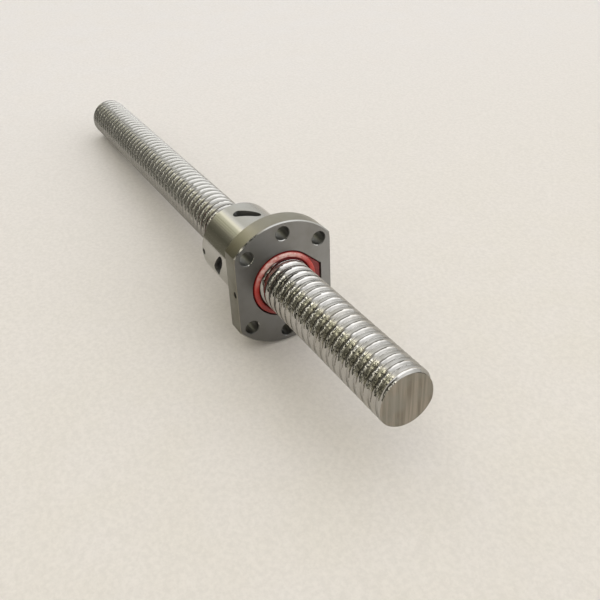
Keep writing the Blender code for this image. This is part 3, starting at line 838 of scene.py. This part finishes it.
def make_floor():
    """The pale table: it touches the flange's rim and the screw's far end, so it leans under the part."""
    normal = Vector((math.sin(FLOOR_TILT), 0.0, math.cos(FLOOR_TILT)))
    side = Vector((0.0, 1.0, 0.0))
    along = side.cross(normal)
    bm = bmesh.new()
    corners = ((FLOOR_FAR, FLOOR_EDGE + FLOOR_EDGE_SLOPE * FLOOR_FAR),
               (FLOOR_NEAR, FLOOR_EDGE + FLOOR_EDGE_SLOPE * FLOOR_NEAR),
               (FLOOR_NEAR, FLOOR_RIGHT), (FLOOR_FAR, FLOOR_RIGHT))
    bm.faces.new([bm.verts.new(FLOOR_POINT + along * a + side * b) for a, b in corners])
    floor = placed("floor", finished("floor", bm))
    material, nodes, shader, position, axes = new_material("table")
    grain = nodes.noise(position, 480.0, 4.0, 0.7)
    patch = nodes.noise(position, 30.0, 3.0, 0.5)
    # Painted light: the table turns warmer and darker towards the near end, for how the light falls across
    # it.
    painted_light_gradient = nodes.spread(axes[0], -0.45, 0.25, 0.0, 1.0)
    colour = nodes.mix(painted_light_gradient, (0.805, 0.772, 0.755), (0.775, 0.728, 0.66))
    colour = nodes.mix(nodes.spread(patch, 0.3, 0.7, 0.0, 0.45), colour, (0.80, 0.755, 0.715))
    colour = nodes.mix(nodes.spread(grain, 0.3, 0.7, 0.16, 0.0), colour, (0.36, 0.335, 0.29))
    dress(nodes, shader, colour, 0.55, nodes.bump(grain, 0.25, 0.0004), 0.0)
    floor.data.materials.append(material)


CAMERA_LENS = 45.28
CAMERA_FROM_FLANGE = (0.2647, -0.1294, 0.1794)  # from the middle of the flange's face


def make_camera():
    """Stands where the photo was taken from: its place and lens fit the outlines of the part."""
    right = Vector((0.48011, 0.87635, -0.03884))
    up = Vector((-0.45796, 0.28816, 0.84097))
    turn = Matrix((right, up, right.cross(up))).transposed()
    data = bpy.data.cameras.new("camera")
    data.lens = CAMERA_LENS
    data.sensor_width = 36.0
    data.clip_start = 0.01
    camera = bpy.data.objects.new("camera", data)
    bpy.context.scene.collection.objects.link(camera)
    x, y, z = CAMERA_FROM_FLANGE
    camera.matrix_world = Matrix.Translation((FLANGE_FACE_X + x, y, z)) @ turn.to_4x4()
    bpy.context.scene.camera = camera


def direction(azimuth, elevation):
    """Unit vector: azimuth 0 is -X, 90 is +Y, 180 is +X, 270 is -Y."""
    a, e = math.radians(azimuth), math.radians(elevation)
    return Vector((-math.cos(a) * math.cos(e), math.sin(a) * math.cos(e), math.sin(e)))


# The room's brightness. BACK_WALL and FRONT_WALL go by elevation, and DIM_SIDE by angle about the X axis from
# +Y; the bright line in DIM_SIDE is the edge of the ceiling.
BACK_WALL = (
    (0, (0.60, 0.59, 0.56)),
    (10, (0.80, 0.795, 0.77)),
    (20, (0.84, 0.84, 0.82)),
    (32, (0.93, 0.93, 0.91)),
    (50, (1.08, 1.08, 1.08)),
    (90, (1.06, 1.06, 1.06)),
)
FRONT_WALL = (
    (0, (0.14, 0.135, 0.11)),
    (12, (0.24, 0.23, 0.19)),
    (26, (0.26, 0.25, 0.21)),
    (37, (0.58, 0.56, 0.48)),
    (45, (0.52, 0.50, 0.43)),
    (60, (0.66, 0.65, 0.60)),
    (90, (1.00, 1.00, 0.98)),
)
DIM_SIDE = (
    (90, (0.94, 0.93, 0.90)),
    (98, (1.10, 1.07, 0.98)),
    (103, (1.32, 1.27, 1.05)),
    (107, (1.30, 1.25, 1.02)),
    (111, (0.84, 0.81, 0.62)),
    (118, (0.70, 0.68, 0.50)),
    (126, (0.62, 0.60, 0.44)),
    (134, (0.42, 0.40, 0.30)),
    (143, (0.19, 0.18, 0.135)),
    (158, (0.11, 0.105, 0.075)),
    (172, (0.15, 0.14, 0.105)),
    (180, (0.17, 0.16, 0.12)),
)
WINDOW = (2.15, 2.15, 2.17)
CAMERA_SIDE = (0.09, 0.085, 0.07)
CAMERA_SIDE_PLACE = (-168, 16)  # azimuth and elevation
CAMERA_SIDE_ANGLES = (31, 11)  # its outer edge and its core, from the middle
SLAT_PERIOD = 6.5  # degrees: dark slats below the ceiling's edge on the dim side
CLUTTER_WIDTH = 26.0  # degrees: light and dark things on the dim side, which the thread breaks into sparkle
CLUTTER_HEIGHT = 7.0
REFLECTED_GAIN = 1.12  # the room is this much brighter in reflections than as a light
FILL_LIGHT = (1.12, 1.11, 1.12)
FILL_SHARE = 0.35  # of the room's light on matt surfaces, which evens it out
SEEN_BACKGROUND = (0.76, 0.72, 0.68)
KEY_PLACE = (80, 62)  # azimuth and elevation
KEY_DISTANCE = 1.3


def ramp(nodes, value, stops):
    """A colour by value, straight between the stops."""
    low, high = stops[0][0], stops[-1][0]
    node = nodes.add("ShaderNodeValToRGB")
    elements = node.color_ramp.elements
    for place, colour in stops[1:-1]:
        elements.new((place - low) / (high - low)).color = (*colour, 1.0)
    elements[0].color = (*stops[0][1], 1.0)
    elements[-1].color = (*stops[-1][1], 1.0)
    share = nodes.math("DIVIDE", nodes.math("SUBTRACT", value, low), high - low)
    nodes.link(share, node.inputs["Fac"])
    return node.outputs["Color"]


def make_room():
    """A plain room for the steel to reflect: pale ceiling and wall, window at the front right, dim left."""
    world = bpy.data.worlds.new("room")
    bpy.context.scene.world = world
    world.use_nodes = True
    nodes = Nodes(world.node_tree)
    ray = nodes.add("ShaderNodeTexCoord").outputs["Generated"]
    split = nodes.add("ShaderNodeSeparateXYZ")
    nodes.link(ray, split.inputs[0])
    x, y, z = split.outputs
    degrees = math.degrees(1.0)
    back = nodes.math("MULTIPLY", x, -1.0)
    elevation = nodes.math("MULTIPLY", nodes.math("ARCSINE", z), degrees)
    azimuth = nodes.math("MULTIPLY", nodes.math("ARCTAN2", y, back), degrees)
    about_x = nodes.math("WRAP", nodes.math("MULTIPLY", nodes.math("ARCTAN2", z, y), degrees), 270.0, -90.0)

    # Bright side: the back wall, warmer at its left end, and the window.
    bright = ramp(nodes, elevation, BACK_WALL)
    bright = nodes.mix(nodes.spread(azimuth, 0.0, 34.0, 0.36, 0.0), bright, (0.48, 0.45, 0.30))
    window = nodes.math("MULTIPLY", nodes.spread(azimuth, 108.0, 142.0, 0.0, 1.0),
                        nodes.spread(azimuth, 164.0, 176.0, 1.0, 0.0))
    window = nodes.math("MULTIPLY", window, nodes.spread(elevation, 22.0, 60.0, 1.0, 0.0))
    bright = nodes.mix(window, bright, WINDOW)

    # Dim side: slats below the ceiling's edge, the front wall, clutter, and a lighter back end.
    slats = nodes.math("PINGPONG", about_x, SLAT_PERIOD / 2)
    slats = nodes.spread(slats, 0.15 * SLAT_PERIOD, 0.35 * SLAT_PERIOD, 0.0, 0.35)
    slats = nodes.math("MULTIPLY", slats, nodes.spread(about_x, 114.0, 120.0, 0.0, 1.0))
    slats = nodes.math("MULTIPLY", slats, nodes.spread(about_x, 140.0, 150.0, 1.0, 0.0))
    dim = nodes.mix(slats, ramp(nodes, about_x, DIM_SIDE), (0.10, 0.09, 0.06))
    dim = nodes.mix(nodes.spread(azimuth, -98.0, -74.0, 1.0, 0.0), dim, ramp(nodes, elevation, FRONT_WALL))
    towards_end = nodes.math("MULTIPLY", nodes.math("ARCSINE", x), degrees)
    cells = nodes.vector(nodes.math("DIVIDE", towards_end, CLUTTER_WIDTH),
                         nodes.math("DIVIDE", about_x, CLUTTER_HEIGHT), 0.0)
    clutter = nodes.spread(nodes.noise(cells, 1.0, 1.0, 0.6), 0.46, 0.57, -0.97, 2.2)
    clutter = nodes.math("MULTIPLY", clutter, nodes.spread(about_x, 99.0, 106.0, 0.0, 1.0))
    clutter = nodes.math("MULTIPLY", clutter, nodes.spread(towards_end, -48.0, -36.0, 0.0, 1.0))
    back_end = nodes.math("MULTIPLY", nodes.spread(towards_end, -74.0, -60.0, 0.6, 0.0),
                          nodes.spread(about_x, 140.0, 155.0, 1.0, 0.0))
    dim = nodes.brighten(dim, nodes.math("ADD", nodes.math("ADD", clutter, back_end), 1.0))
    colour = nodes.mix(nodes.spread(about_x, 86.0, 96.0, 0.0, 1.0), bright, dim)

    # The dark shape of whoever holds the camera.
    dot = nodes.add("ShaderNodeVectorMath", operation="DOT_PRODUCT")
    nodes.link(ray, dot.inputs[0])
    dot.inputs[1].default_value = direction(*CAMERA_SIDE_PLACE)
    edge, core = (math.cos(math.radians(a)) for a in CAMERA_SIDE_ANGLES)
    colour = nodes.mix(nodes.spread(dot.outputs["Value"], edge, core, 0.0, 1.0), colour, CAMERA_SIDE)
    light_path = nodes.add("ShaderNodeLightPath")
    diffuse = light_path.outputs["Is Diffuse Ray"]
    gain = nodes.math("MULTIPLY_ADD", diffuse, 1.0 - REFLECTED_GAIN, REFLECTED_GAIN)
    colour = nodes.brighten(colour, gain)
    fill = nodes.math("MULTIPLY", diffuse, FILL_SHARE)
    colour = nodes.mix(fill, colour, FILL_LIGHT)
    colour = nodes.mix(light_path.outputs["Is Camera Ray"], colour, SEEN_BACKGROUND)
    background = nodes.add("ShaderNodeBackground")
    nodes.link(colour, background.inputs["Color"])
    output = nodes.add("ShaderNodeOutputWorld")
    nodes.link(background.outputs[0], output.inputs["Surface"])


def make_key_light():
    """One weak, large light from above on the right, for a soft shadow to the left."""
    data = bpy.data.lights.new("key", "AREA")
    data.shape = "RECTANGLE"
    data.size, data.size_y = 0.9, 0.7
    data.energy = 0.5
    data.color = (1.0, 0.985, 0.96)
    light = bpy.data.objects.new("key", data)
    bpy.context.scene.collection.objects.link(light)
    towards = direction(*KEY_PLACE)
    light.location = towards * KEY_DISTANCE
    light.rotation_mode = "QUATERNION"
    light.rotation_quaternion = towards.to_track_quat("Z", "Y")


# ---------------------------------------------------------------- build

def main():
    scene = bpy.context.scene
    scene.view_settings.view_transform = "Standard"
    make_camera()
    make_floor()
    make_room()
    make_key_light()

    steel, end = screw_steel(), sawn_end()
    ground, face, bore = ground_nut(), flange_face(), bored_steel()
    rim = turned_rim("nut_rim", (0.30, 0.285, 0.24), (0.255, 0.235, 0.185))
    flat = turned_rim("nut_flat", (0.225, 0.22, 0.188), (0.19, 0.18, 0.152))
    nylon = red_nylon()
    black = plain_finish("insert_nylon", (0.010, 0.010, 0.010), (0.030, 0.030, 0.030),
                         900.0, 0.35, 0.5, 0.0, 0.2)
    oxide = plain_finish("black_oxide", (0.03, 0.03, 0.03), (0.07, 0.065, 0.06),
                         1500.0, 0.28, 0.45, 1.0, 0.15)
    chrome = plain_finish("ball_steel", (0.72, 0.72, 0.72), (0.80, 0.80, 0.80),
                          300.0, 0.03, 0.07, 1.0, 0.02)

    screw = make_screw()
    paint(screw, (steel, end), lambda c, n: 1 if abs(n.x) > 0.999 else 0)
    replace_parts(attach(screw, "screw"), "screw_shaft")

    nut = make_nut()

    def nut_zone(centre, normal):
        """Which of the nut's materials a face gets: 0 ground, 1 rim, 2 face, 3 bore, 4 flat."""
        radius = math.hypot(centre.y, centre.z)
        back, rear = FLANGE_FACE_X - FLANGE_THICKNESS, FLANGE_FACE_X - NUT_LENGTH
        outwards = (centre.y * normal.y + centre.z * normal.z) / max(radius, 1e-9)
        if abs(normal.x) > 0.9 and min(abs(centre.x - x) for x in (rear, back, FLANGE_FACE_X)) < 1e-5:
            return 2
        if normal.x > 0.5 and outwards > 0.5 and centre.x > FLANGE_FACE_X - FLANGE_CHAMFER:
            return 0
        edge = flange_radius(math.atan2(centre.z, centre.y), 0.0)
        if centre.x > back - 0.0001 and radius > edge - 0.0008 and outwards > 0.5:
            return 4 if abs(normal.y) > 0.99 and abs(centre.y) > FLAT_DISTANCE - 0.0001 else 1
        if centre.x < back and radius > BODY_RADIUS - 0.0009 and outwards > 0.5:
            return 0
        return 3

    paint(nut, (ground, rim, face, bore, flat), nut_zone)
    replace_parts(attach(nut, "nut"), "nut_body")

    front, rear = make_front_wiper(), make_rear_wiper()
    for wiper, body, node in ((front, "nut", "front_wiper"), (rear, "nut_carriage", "rear_wiper")):
        paint(wiper, (nylon,), lambda c, n: 0)
        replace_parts(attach(wiper, body), node)

    for which in ("front", "rear"):
        stud = make_set_screw(which)
        paint(stud, (oxide,), lambda c, n: 0)
        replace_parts(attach(stud, "nut"), f"{which}_wiper_screw")

    for number in range(CIRCUITS):
        insert, balls = make_insert(number), make_balls(number)
        paint(insert, (black,), lambda c, n: 0)
        paint(balls, (chrome,), lambda c, n: 0)
        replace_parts(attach(insert, "nut"), f"return_insert_{number + 1}")
        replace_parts(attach(balls, "nut"), f"ball_train_{number + 1}")

    bpy.context.view_layer.update()


main()
